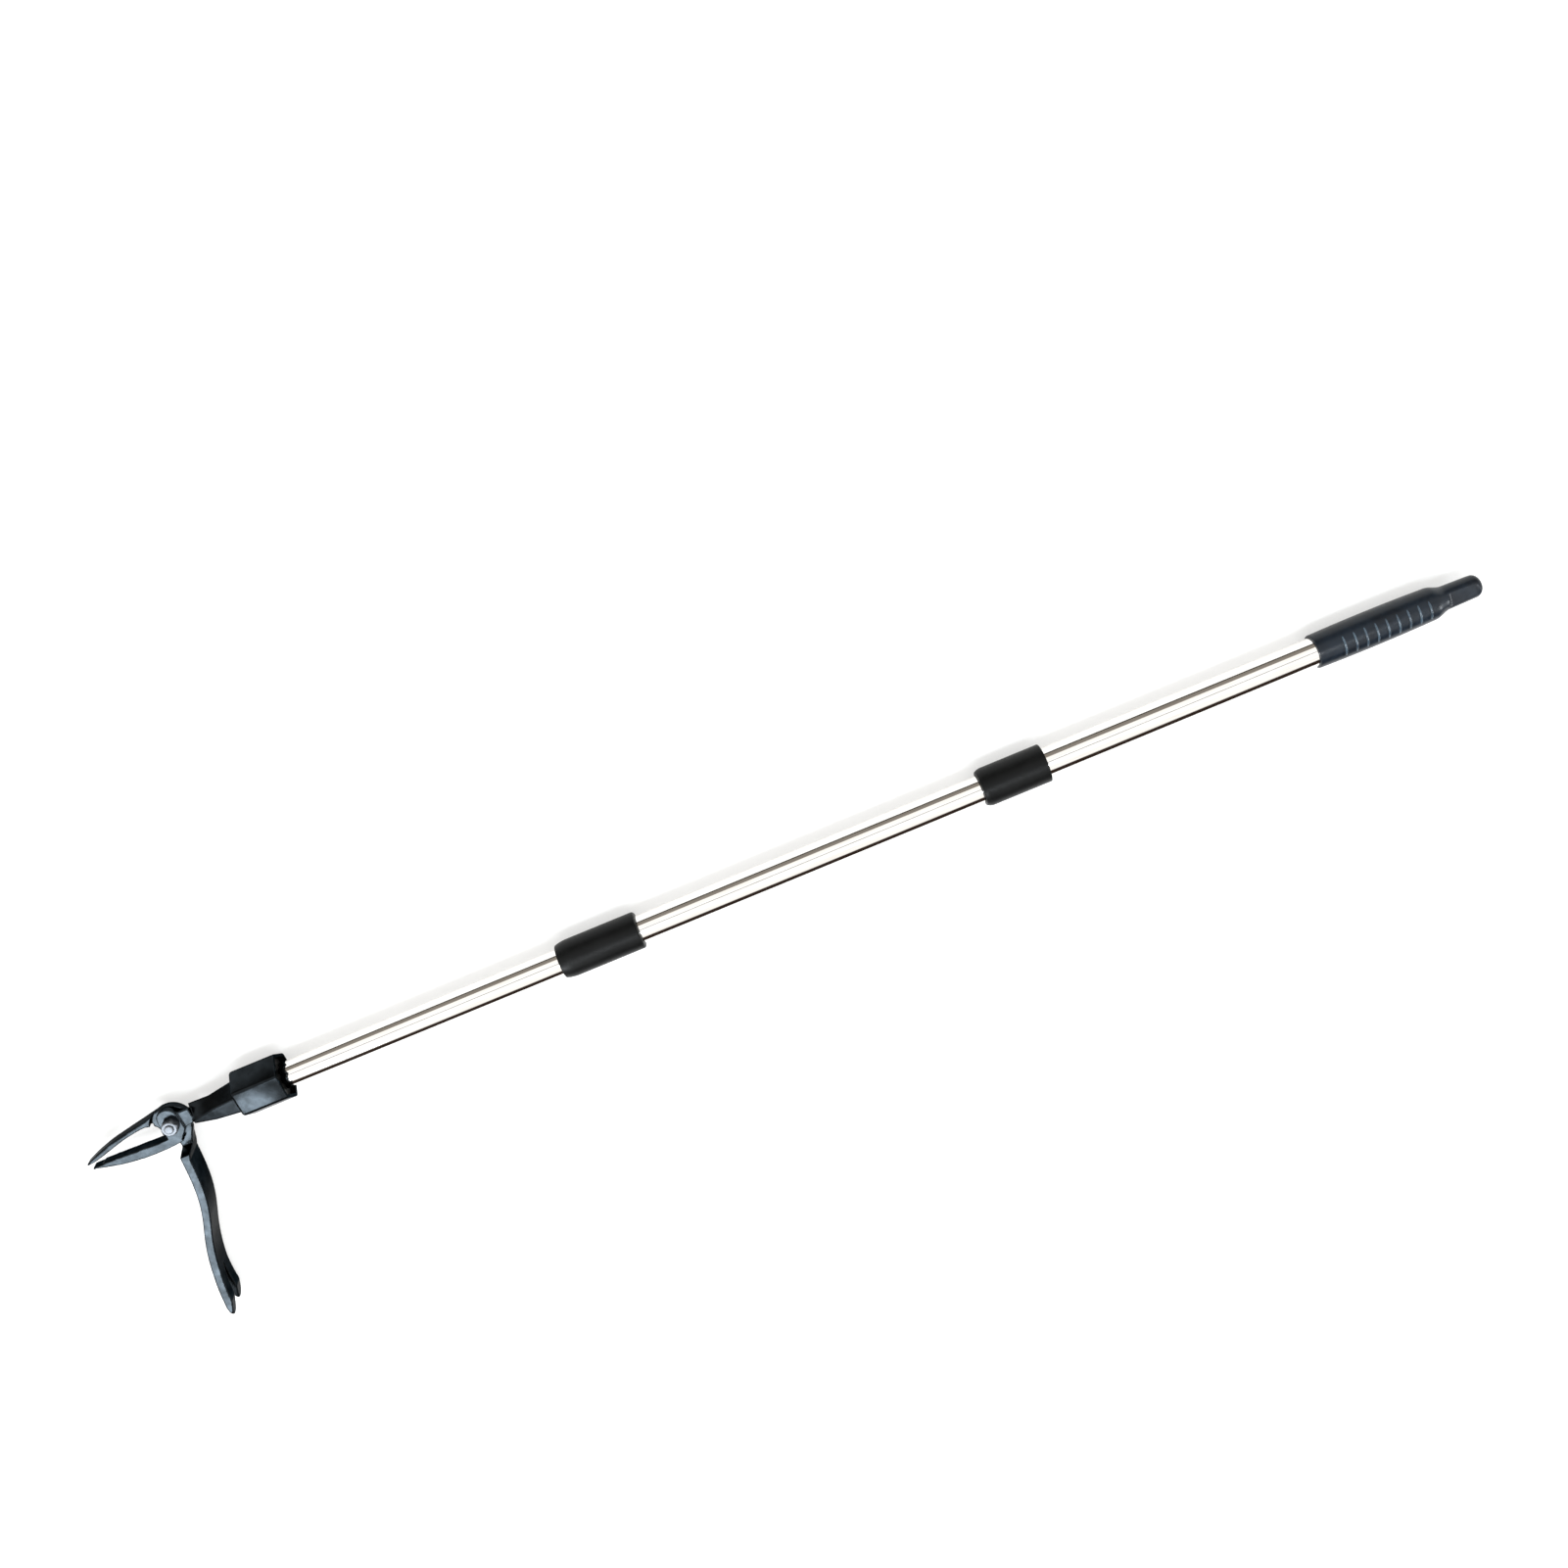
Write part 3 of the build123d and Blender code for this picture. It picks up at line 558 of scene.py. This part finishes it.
def corner(x: float, radius: float, size: float, dx: int, dr: int,
           count: int = 4) -> list[tuple[float, float]]:
    """A rounded convex corner of an outline.

    Args:
        x: the corner's place along the pole.
        radius: the corner's radius from the axis.
        size: the rounding's radius.
        dx: the way to the arc's centre along the pole, 1 or -1.
        dr: the way to the arc's centre across the pole, 1 or -1.
        count: how many segments the arc has.

    Returns:
        The arc's points, from the end face to the side.
    """
    cx, cr = x + dx * size, radius + dr * size
    return [(cx - dx * size * math.cos(a), cr - dr * size * math.sin(a))
            for a in (math.pi / 2 * step / count for step in range(count + 1))]


def fitted(piece: bpy.types.Object, finish: Finish, body: Body, slot: Slot, *nodes: str) -> None:
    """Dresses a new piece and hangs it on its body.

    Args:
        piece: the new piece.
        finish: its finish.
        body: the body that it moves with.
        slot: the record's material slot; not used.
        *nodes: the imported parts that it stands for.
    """
    piece.data.materials.clear()
    piece.data.materials.append(finish.material())
    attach(piece, body.value)
    if nodes:
        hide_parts(*nodes)
    log.info("%s rides on %s", piece.name, body.value)


def dressed(finish: Finish, *nodes: str) -> None:
    """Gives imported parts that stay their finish.

    Args:
        finish: the finish that they get.
        *nodes: the parts' nodes.
    """
    for node in nodes:
        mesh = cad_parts[node].data
        mesh.materials.clear()
        mesh.materials.append(finish.material())
        log.info("%s is dressed in %s", node, finish.name)


# ---------------------------------------------------------------------------------------------------
# Sub-assemblies
# ---------------------------------------------------------------------------------------------------
@dataclass
class Head:
    """The plier head: two forgings on one pivot, and the hexagonal socket."""

    voxel: float = 0.5
    forging_rounds: int = 7
    socket_corner: float = 2.2
    socket_heel: float = 2.4
    socket_rim: float = 0.5
    socket_wall: float = 3.0
    socket_floor: float = 4.0
    corner_segments: int = 4
    fastener_rounding: float = 0.25
    fastener_segments: int = 2
    bolt_radius: float = 4.0
    bolt_dome: float = 1.0
    thread_depth: float = 0.4
    thread_pitch: float = 1.25
    bolt_steps: int = 64
    dome_steps: int = 4

    def build(self) -> None:
        """Builds the head's pieces."""
        arm = forged("jaw_arm", "jaw_arm_forging", self.voxel, self.forging_rounds)
        fitted(arm, ENAMEL, Body.HEAD, Slot.ENAMEL, "jaw_arm")
        lever = forged("foot_lever", "lever_forging", self.voxel, self.forging_rounds)
        fitted(lever, ENAMEL, Body.LEVER, Slot.ENAMEL, "foot_lever")
        self.socket()
        self.bolt()
        for node, name in (("pivot_nut", "plated_nut"), ("pivot_washer", "plated_washer")):
            piece = softened(copied(node, name), self.fastener_rounding, self.fastener_segments)
            fitted(piece, ZINC, Body.HEAD, Slot.ZINC, node)
        dressed(BLACK_NYLON, "pole_adapter")
        dressed(NYLON, "lower_tube_plug")
        dressed(ZINC, "adapter_screw")

    def socket(self) -> None:
        """Builds the hexagonal socket, with rounded corners and a hollow for the pole."""
        low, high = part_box("hex_socket")
        flats, length = high.z - low.z, high.x - low.x
        bm = bmesh.new()
        stand = Matrix.Translation((low.x, 0.0, axis_height())) @ Matrix.Rotation(math.pi / 2, 4, "Y")
        hexagon(bm, flats, length, stand)
        corners = [edge for edge in bm.edges
                   if abs(edge.verts[0].co.x - edge.verts[1].co.x) > length / 2]
        rounded(bm, corners, self.socket_corner * MM, self.corner_segments)
        for end, width in ((low.x, self.socket_heel), (high.x, self.socket_rim)):
            rim = [edge for edge in bm.edges
                   if all(abs(vert.co.x - end) < END_TOLERANCE for vert in edge.verts)]
            rounded(bm, rim, width * MM)
        bmesh.ops.inset_region(bm, faces=[self.end_face(bm)], use_even_offset=True,
                               thickness=(self.socket_wall - self.socket_rim) * MM)
        mouth = self.end_face(bm)
        floor = bmesh.ops.extrude_face_region(bm, geom=[mouth])["geom"]
        if mouth.is_valid:
            bmesh.ops.delete(bm, geom=[mouth], context="FACES_ONLY")
        bmesh.ops.translate(bm, verts=verts_of(floor), vec=(self.socket_floor * MM - length, 0.0, 0.0))
        fitted(settle("hexagon_socket", bm), ENAMEL, Body.HEAD, Slot.ENAMEL, "hex_socket")

    def end_face(self, bm: bmesh.types.BMesh) -> bmesh.types.BMFace:
        """The largest face of a shape that looks along the pole."""
        facing = [face for face in bm.faces if face.normal.x > FACING]
        return max(facing, key=lambda face: face.calc_area())

    def bolt(self) -> None:
        """Builds the pivot bolt, with its head below and its domed, threaded end above the nut."""
        low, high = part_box("pivot_bolt")
        washer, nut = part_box("pivot_washer"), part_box("pivot_nut")
        centre = Vector(((nut[0].x + nut[1].x) / 2, (nut[0].y + nut[1].y) / 2, 0.0))
        radius, dome, pitch = self.bolt_radius * MM, self.bolt_dome * MM, self.thread_pitch * MM
        bm = bmesh.new()
        hexagon(bm, nut[1].y - nut[0].y, washer[0].z - low.z,
                Matrix.Translation((centre.x, centre.y, low.z)) @ Matrix.Rotation(math.pi / 2, 4, "Z"))
        rounded(bm, list(bm.edges), self.fastener_rounding * MM, self.fastener_segments)
        shoulder = high.z - dome
        outline = [(0.0, washer[0].z), (radius, washer[0].z), (radius, shoulder - pitch),
                   (radius - self.thread_depth * MM, shoulder - pitch / 2), (radius, shoulder)]
        outline += [(radius - dome * (1 - math.cos(turn)), shoulder + dome * math.sin(turn))
                    for turn in (math.pi / 2 * step / self.dome_steps
                                 for step in range(1, self.dome_steps + 1))]
        outline.append((0.0, high.z))
        points = [bm.verts.new((centre.x + r, centre.y, z)) for r, z in outline]
        edges = [bm.edges.new(pair) for pair in zip(points, points[1:])]
        bmesh.ops.spin(bm, geom=points + edges, cent=centre, axis=(0, 0, 1), angle=math.tau,
                       steps=self.bolt_steps, use_merge=True)
        bmesh.ops.remove_doubles(bm, verts=bm.verts, dist=MERGE_MM * MM)
        fitted(settle("plated_bolt", bm), ZINC, Body.HEAD, Slot.ZINC, "pivot_bolt")


@dataclass
class Pole:
    """The three stainless tubes."""

    wall: float = 0.5
    rim: float = 0.2
    rim_steps: int = 2

    def build(self) -> None:
        """Builds the tubes."""
        stages = {"lower_tube": Body.HEAD, "middle_tube": Body.MIDDLE, "upper_tube": Body.UPPER}
        for node, body in stages.items():
            low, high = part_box(node)
            radius, wall, rim = (high.z - low.z) / 2, self.wall * MM, self.rim * MM
            outline = corner(low.x, radius, rim, 1, -1, self.rim_steps)
            outline += corner(high.x, radius, rim, -1, -1, self.rim_steps)[::-1]
            outline += [(high.x, radius - wall), (low.x, radius - wall)]
            fitted(spun("polished_" + node, outline), STAINLESS, body, Slot.STAINLESS, node)


@dataclass
class Collar:
    """A moulded collar on an outer tube's open end, with its bush and wiper ring."""

    stage: str
    body: Body
    inner_tube: str
    taper: float
    end_rounding: float
    drop: float = 1.6
    nose_rounding: float = 0.8
    lip_clearance: float = 0.35
    taper_shares: tuple[float, ...] = (0.3, 0.5, 0.7, 0.85, 1.0)

    def build(self) -> None:
        """Builds the sleeve and dresses what is in it."""
        node = self.stage + "_collar"
        low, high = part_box(node)
        mouth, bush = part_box(self.stage + "_wiper_ring"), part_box(self.stage + "_collar_bush")
        radius = (high.z - low.z) / 2
        bore = (bush[1].z - bush[0].z) / 2
        lip_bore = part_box(self.inner_tube)[1].z - axis_height() + self.lip_clearance * MM
        nose = radius - self.drop * MM
        outline = [(low.x, lip_bore)]
        outline += corner(low.x, nose, self.nose_rounding * MM, 1, -1)
        outline += [(low.x + self.taper * MM * share,
                     nose + self.drop * MM * math.sin(share * math.pi / 2))
                    for share in self.taper_shares]
        outline += corner(high.x, radius, self.end_rounding * MM, -1, -1)[::-1]
        outline += [(high.x, bore), (mouth[0].x, bore), (mouth[0].x, lip_bore)]
        fitted(spun("moulded_" + node, outline), COLLAR_PLASTIC, self.body, Slot.COLLAR, node)
        dressed(BLACK_NYLON, self.stage + "_collar_bush")
        dressed(FELT, self.stage + "_wiper_ring")


@dataclass
class Grip:
    """The moulded grip on the upper tube's end."""

    body_length: float = 109.0
    shoulder_length: float = 15.0
    end_radius: float = 15.2
    belly_radius: float = 15.8
    shoulder_radius: float = 14.8
    tail_radius: float = 10.2
    tail_rounding: float = 6.5
    mouth_rounding: float = 1.0
    rib_count: int = 9
    rib_pitch: float = 10.0
    rib_first: float = 23.0
    rib_radius: float = 1.1
    rib_stand: float = 1.0
    rib_offset: float = 4.0
    rib_turn: float = 50.0
    rib_sides: int = 12
    rib_steps: int = 40
    tail_flats: float = 17.4
    tail_flare: float = 0.6
    end_margin: float = 1.0
    body_steps: int = 40
    shoulder_steps: int = 12
    tail_steps: int = 16
    tail_corner_steps: int = 8

    def body_radius(self, distance: float) -> float:
        """The body's radius, on a shallow arc from end to end.

        Args:
            distance: how far from the open end, in millimetres.

        Returns:
            The radius in millimetres.
        """
        share = distance / self.body_length
        chord = self.end_radius + (self.shoulder_radius - self.end_radius) * share
        middle = (self.end_radius + self.shoulder_radius) / 2
        return chord + 4 * (self.belly_radius - middle) * share * (1 - share)

    def build(self) -> None:
        """Builds the grip and dresses the plug in it."""
        low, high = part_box("grip")
        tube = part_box("upper_tube")
        bore = (tube[1].z - tube[0].z) / 2
        outline = [(low.x, bore)]
        outline += corner(low.x, self.end_radius * MM, self.mouth_rounding * MM, 1, -1)
        for step in range(1, self.body_steps):
            distance = self.body_length * step / self.body_steps
            outline.append((low.x + distance * MM, self.body_radius(distance) * MM))
        fall = self.shoulder_radius - self.tail_radius - self.tail_flare
        for step in range(0, self.shoulder_steps + 1):
            share = step / self.shoulder_steps
            radius = self.shoulder_radius - fall * share * share * (3 - 2 * share)
            distance = self.body_length + self.shoulder_length * share
            outline.append((low.x + distance * MM, radius * MM))
        tail = low.x + (self.body_length + self.shoulder_length) * MM
        for step in range(1, self.tail_steps):
            share = step / self.tail_steps
            outline.append((tail + (high.x - self.tail_rounding * MM - tail) * share,
                            (self.tail_radius + self.tail_flare * (1 - share)) * MM))
        outline += corner(high.x, self.tail_radius * MM, self.tail_rounding * MM, -1, -1,
                          self.tail_corner_steps)[::-1]
        bottom = tube[1].x + self.end_margin * MM
        outline += [(high.x, 0.0), (bottom, 0.0), (bottom, bore)]
        shell = spun("moulded_grip", outline)
        self.flatten(shell, tail, high.x)
        fitted(shell, GRIP_PLASTIC, Body.UPPER, Slot.GRIP, "grip")
        self.ribs(low.x)
        dressed(NYLON, "grip_plug")

    def flatten(self, shell: bpy.types.Object, start: float, end: float) -> None:
        """Presses the tail's two flats into the shell.

        Args:
            shell: the grip's shell.
            start: where the flats start along the pole, in metres.
            end: the grip's closed end, in metres.
        """
        height, flat = axis_height(), self.tail_flats / 2 * MM
        stop = end - self.tail_rounding * MM
        for vert in shell.data.vertices:
            off = vert.co.z - height
            if start < vert.co.x < stop and abs(off) > flat:
                vert.co.z = height + math.copysign(flat, off)

    def ribs(self, start: float) -> None:
        """Builds the finger ribs, whose ends sink into the body.

        Args:
            start: the grip's open end along the pole, in metres.
        """
        height = axis_height()
        bm = bmesh.new()
        for side in (1, -1):
            for index in range(self.rib_count):
                distance = self.rib_first + index * self.rib_pitch
                reach = (self.body_radius(distance) + self.rib_stand - self.rib_radius) * MM
                centre = Vector((start + distance * MM, 0.0, height + side * reach))
                ring = bmesh.ops.create_circle(bm, cap_ends=False, segments=self.rib_sides,
                                               radius=self.rib_radius * MM)["verts"]
                bmesh.ops.translate(bm, verts=ring, vec=centre)
                hinge = (centre.x, 0.0, height + side * self.rib_offset * MM)
                half = math.radians(self.rib_turn)
                upright = Matrix.Rotation(math.pi / 2, 3, "X")
                bmesh.ops.rotate(bm, verts=ring, cent=centre, matrix=upright)
                bmesh.ops.rotate(bm, verts=ring, cent=hinge, matrix=Matrix.Rotation(-half, 3, "X"))
                edges = list({edge for vert in ring for edge in vert.link_edges})
                bmesh.ops.spin(bm, geom=ring + edges, cent=hinge, axis=POLE_AXIS, angle=2 * half,
                               steps=self.rib_steps)
        bmesh.ops.holes_fill(bm, edges=bm.edges, sides=self.rib_sides)
        # The ribs' paler colour is a painted highlight; their extra gloss is the real polish from
        # fingers.
        fitted(settle("finger_ribs", bm), RIB_PAINTED_HIGHLIGHT_PLASTIC, Body.UPPER, Slot.GRIP)


@dataclass
class TwistLocks:
    """The locks inside the pole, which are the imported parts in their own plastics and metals."""

    stages: tuple[str, ...] = ("lower", "upper")

    def build(self) -> None:
        """Dresses the locks."""
        for stage in self.stages:
            dressed(NYLON, stage + "_lock_core", stage + "_lock_ring")
            dressed(ZINC, stage + "_lock_washer", stage + "_lock_screw")


# ---------------------------------------------------------------------------------------------------
# Studio
# ---------------------------------------------------------------------------------------------------
@dataclass(frozen=True)
class Softbox:
    """A rectangular light that is equally bright all over; places and sizes are in metres."""

    name: str
    place: tuple[float, float, float]
    target: tuple[float, float, float]
    size: tuple[float, float]
    brightness: float
    colour: str = "#eef4fa"

    def hang(self) -> None:
        """Hangs the light at its place and turns it to its target."""
        data = bpy.data.lights.new(self.name, "AREA")
        data.shape, data.size, data.size_y = "RECTANGLE", self.size[0], self.size[1]
        data.energy = self.brightness * math.pi * self.size[0] * self.size[1]
        data.color = linear(self.colour)[:3]
        lamp = bpy.data.objects.new(self.name, data)
        away = Vector(self.place) - Vector(self.target)
        turn = away.to_track_quat("Z", "Y").to_matrix().to_4x4()
        lamp.matrix_world = Matrix.Translation(self.place) @ turn
        bpy.context.scene.collection.objects.link(lamp)


@dataclass
class Studio:
    """A pale floor under a soft dome, with three softboxes, and the camera above the tool."""

    slope: float = 22.38
    tilt: float = 22.0
    lens: float = 33.7
    sensor: float = 36.0
    clip: tuple[float, float] = (0.01, 50.0)
    aim_right: float = 433.1
    aim_up: float = 252.9
    distance: float = 1275.0
    aim_x: float = 21.0
    floor_size: float = 60.0
    floor_centre: float = 0.5
    floor_glow: float = 0.6
    floor_colour: str = "#b4b4b3"
    glow_colour: str = "#fbfbfa"
    floor_rough: float = 0.9
    floor_specular: float = 0.1
    dome_strength: float = 1.25
    dome: tuple[tuple[float, str], ...] = (
        (0.0, "#2a201b"), (0.19, "#2c211c"), (0.225, "#f4f2ef"), (0.575, "#ffffff"), (0.585, "#8e8e8e"),
        (0.60, "#8e8e8e"), (0.61, "#ffffff"), (0.79, "#f8f6f2"), (0.81, "#857f78"), (0.945, "#7d776f"),
        (0.96, "#2e2824"), (1.0, "#2a2420"))
    lights: tuple[Softbox, ...] = (
        Softbox("long softbox", (0.55, -0.20, 2.0), (0.55, 0.0, 0.0), (2.4, 0.28), 11.0),
        Softbox("head softbox", (-0.84, -0.84, 1.46), (-0.10, -0.05, 0.03), (0.7, 0.55), 22.0),
        Softbox("edge softbox", (2.6, -0.9, 1.1), (0.9, 0.0, 0.0), (0.6, 0.6), 16.0))

    def directions(self) -> tuple[Vector, Vector, Vector]:
        """The camera's right, up and backward directions.

        Returns:
            Three unit vectors in the parts' frame.
        """
        slope, tilt = math.radians(self.slope), math.radians(self.tilt)
        along, across = math.cos(slope), math.sin(slope)
        right = Vector((along, -across * math.cos(tilt), across * math.sin(tilt)))
        up = Vector((across, along * math.cos(tilt), -along * math.sin(tilt)))
        return right, up, Vector((0.0, math.sin(tilt), math.cos(tilt)))

    def place_camera(self) -> None:
        """Puts the camera at its place above the tool."""
        right, up, back = self.directions()
        aim = Vector((self.aim_x * MM, 0.0, axis_height()))
        place = aim + (right * self.aim_right + up * self.aim_up + back * self.distance) * MM
        data = bpy.data.cameras.new("camera")
        data.lens, data.sensor_width = self.lens, self.sensor
        data.clip_start, data.clip_end = self.clip
        camera = bpy.data.objects.new("camera", data)
        turn = Matrix((right, up, back)).transposed().to_4x4()
        camera.matrix_world = Matrix.Translation(place) @ turn
        bpy.context.scene.collection.objects.link(camera)
        bpy.context.scene.camera = camera

    def light(self) -> None:
        """Lights the tool with a soft dome, darker along both horizons, and the softboxes."""
        world = bpy.data.worlds.new("soft dome")
        bpy.context.scene.world = world
        world.use_nodes = True
        tree = world.node_tree
        place = add_node(tree, "ShaderNodeTexCoord")
        parts = add_node(tree, "ShaderNodeSeparateXYZ", {"Vector": place.outputs["Generated"]})
        across = add_node(tree, "ShaderNodeMath", {0: parts.outputs["Y"], 1: -1.0},
                          operation="MULTIPLY")
        angle = add_node(tree, "ShaderNodeMath", {0: parts.outputs["Z"], 1: across.outputs["Value"]},
                         operation="ARCTAN2")
        share = add_node(tree, "ShaderNodeMath", {0: angle.outputs["Value"], 1: math.pi},
                         operation="DIVIDE")
        ramp = add_node(tree, "ShaderNodeValToRGB", {"Fac": share.outputs["Value"]})
        points = ramp.color_ramp.elements
        while len(points) < len(self.dome):
            points.new(self.dome[-1][0])
        for point, (position, code) in zip(points, self.dome):
            point.position, point.color = position, linear(code)
        background = tree.nodes["Background"]
        tree.links.new(ramp.outputs["Color"], background.inputs["Color"])
        background.inputs["Strength"].default_value = self.dome_strength
        for light in self.lights:
            light.hang()

    def lay_floor(self) -> None:
        """Lays the pale floor under the tool, lit a little from below so that shadows stay soft."""
        bm = bmesh.new()
        bmesh.ops.create_grid(bm, x_segments=1, y_segments=1, size=self.floor_size / 2)
        bmesh.ops.translate(bm, verts=bm.verts, vec=(self.floor_centre, 0.0, CAD_BOX[0][2]))
        floor = settle("floor", bm)
        material = bpy.data.materials.new("matt white floor")
        material.use_nodes = True
        shader = material.node_tree.nodes["Principled BSDF"]
        shader.inputs["Base Color"].default_value = linear(self.floor_colour)
        shader.inputs["Roughness"].default_value = self.floor_rough
        shader.inputs["Specular IOR Level"].default_value = self.floor_specular
        shader.inputs["Emission Color"].default_value = linear(self.glow_colour)
        shader.inputs["Emission Strength"].default_value = self.floor_glow
        floor.data.materials.append(material)

    def build(self) -> None:
        """Sets up the camera, the lights and the floor."""
        bpy.context.scene.view_settings.view_transform = "Standard"
        self.place_camera()
        self.light()
        self.lay_floor()


def main() -> None:
    """Builds every sub-assembly in order."""
    logging.basicConfig(level=logging.INFO, format="%(message)s")
    Studio().build()
    Head().build()
    Pole().build()
    Collar("lower", Body.MIDDLE, "lower_tube", taper=11.0, end_rounding=2.2).build()
    Collar("upper", Body.UPPER, "middle_tube", taper=6.5, end_rounding=0.6).build()
    TwistLocks().build()
    Grip().build()


if __name__ == "__main__":
    main()
